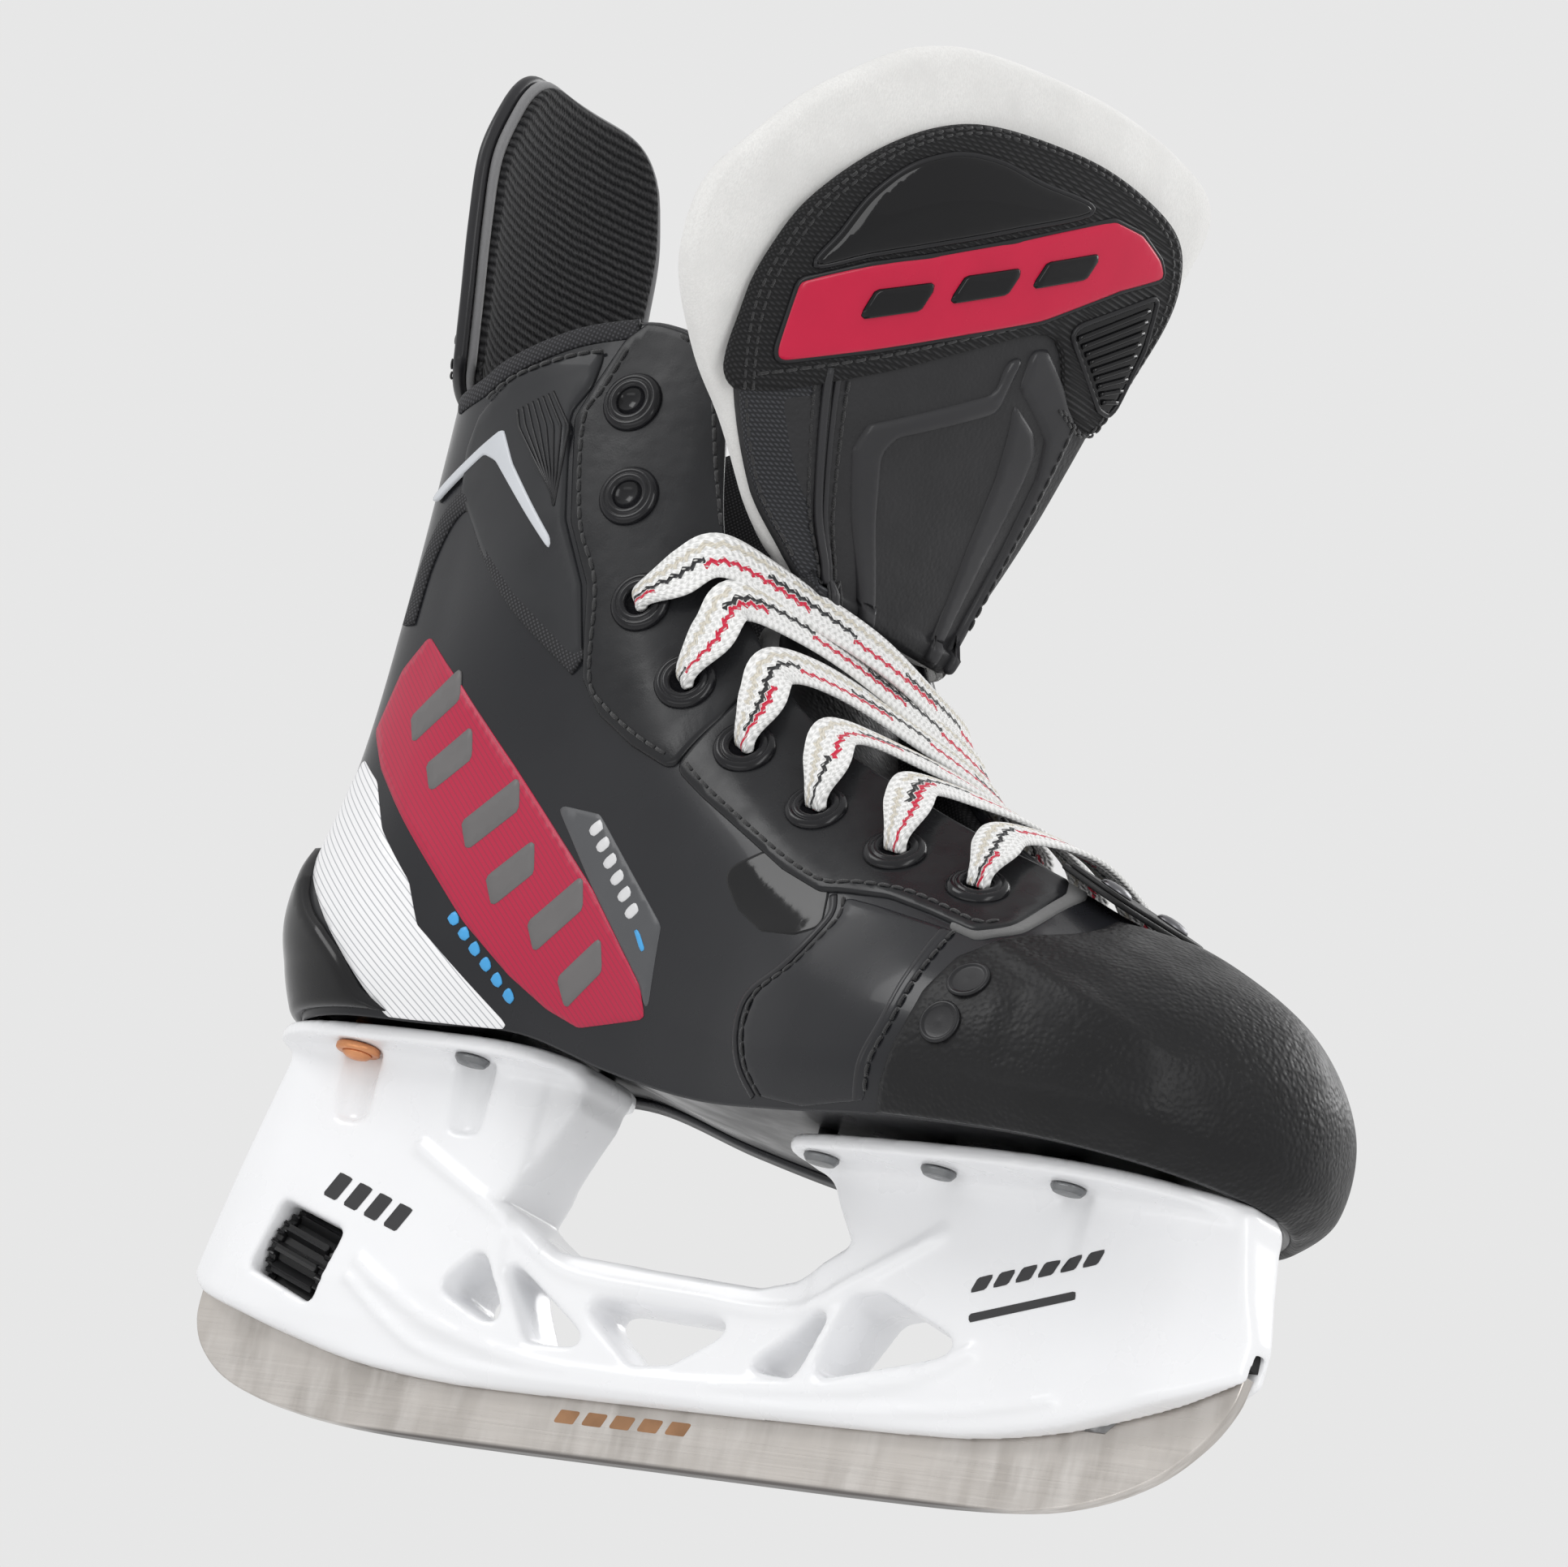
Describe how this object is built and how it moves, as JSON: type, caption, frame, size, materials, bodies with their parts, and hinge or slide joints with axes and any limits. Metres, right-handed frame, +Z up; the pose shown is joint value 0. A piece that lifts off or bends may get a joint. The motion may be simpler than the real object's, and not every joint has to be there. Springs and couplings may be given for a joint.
{
  "type": "ice hockey skate",
  "caption": "Ice hockey skate with a moulded boot, a raised tendon guard, a felt tongue and a steel runner locked in a plastic holder.",
  "frame": {"origin": "middle of the flat of the runner's lower edge, where the skate stands", "axes": "+X towards the toe, +Y towards the side away from the outer face, +Z up along the boot"},
  "size_m": [0.2409, 0.1149, 0.2785],
  "materials": {
    "steel": "ground, brushed lengthwise",
    "holder_white": "gloss moulded",
    "black_plastic": "satin moulded",
    "bolt_steel": "plain",
    "rivet_steel": "dark plated",
    "copper": "plain copper",
    "board": "dark composite",
    "quarter": "smooth coated composite",
    "lining": "brushed knit",
    "toe_leather": "pebbled",
    "felt": "thick white felt",
    "tongue_leather": "pebbled",
    "facing": "stitched synthetic",
    "foam": "footbed foam",
    "rubber": "layered strip",
    "lace_white": "flat braid"
  },
  "bodies": {
    "boot": {"blade_holder": "holder_white", "front_slot_pad": "rubber", "heel_steel_rivets": "rivet_steel", "toe_steel_rivets": "rivet_steel", "copper_rivets": "copper", "copper_washers": "copper", "outsole": "board", "footbed": "foam", "boot_shell": "quarter", "boot_liner": "lining", "heel_cup": "black_plastic", "toe_cap": "toe_leather", "toe_plugs": "black_plastic", "ankle_collar": "quarter", "collar_lining": "lining", "ankle_panel_near": "black_plastic", "ankle_panel_far": "black_plastic", "upper_facing_near": "facing", "upper_facing_far": "facing", "lower_facing_near": "facing", "lower_facing_far": "facing", "vamp_front": "quarter", "vamp_panel_near": "quarter", "vamp_panel_far": "quarter", "eyelets_near": "black_plastic", "eyelets_far": "black_plastic", "toe_strip": "rubber", "strip_rivets": "rivet_steel", "tongue_base": "tongue_leather", "lace": "lace_white"},
    "steel": {"runner": "steel"},
    "dial": {"lock_dial": "black_plastic"},
    "bolt": {"lock_bolt": "bolt_steel"},
    "guard": {"tendon_guard": "black_plastic", "guard_lining": "lining"},
    "tongue": {"tongue_felt": "felt", "tongue_panel": "tongue_leather", "tongue_cap": "black_plastic"}
  },
  "joints": [
    {"name": "dial_turn", "type": "hinge", "parent": "boot", "child": "dial", "pos_m": [-0.0935, 0, 0.0314], "axis": [0.9511, 0, -0.309], "range_deg": [0, 180]},
    {"name": "bolt_slide", "type": "slide", "parent": "boot", "child": "bolt", "axis": [-0.9511, 0, 0.309], "range_m": [0, 0.003]},
    {"name": "runner_drop", "type": "hinge", "parent": "boot", "child": "steel", "pos_m": [0.112, 0, 0.033], "axis": [0, -1, 0], "range_deg": [0, 1]},
    {"name": "tendon_guard_flex", "type": "hinge", "parent": "boot", "child": "guard", "pos_m": [-0.107, 0, 0.1975], "axis": [0, 1, 0], "range_deg": [-15, 8], "stiffness_Nm_per_rad": 0.5},
    {"name": "tongue_flex", "type": "hinge", "parent": "boot", "child": "tongue", "pos_m": [-0.011, 0, 0.1725], "axis": [0, 1, 0], "range_deg": [-3, 20], "stiffness_Nm_per_rad": 1}
  ],
  "couplings": [
    {"joint": "bolt_slide", "follows": "runner_drop", "m_per_rad": 0.17188},
    {"joint": "dial_turn", "follows": "runner_drop", "ratio": 179.99}
  ]
}
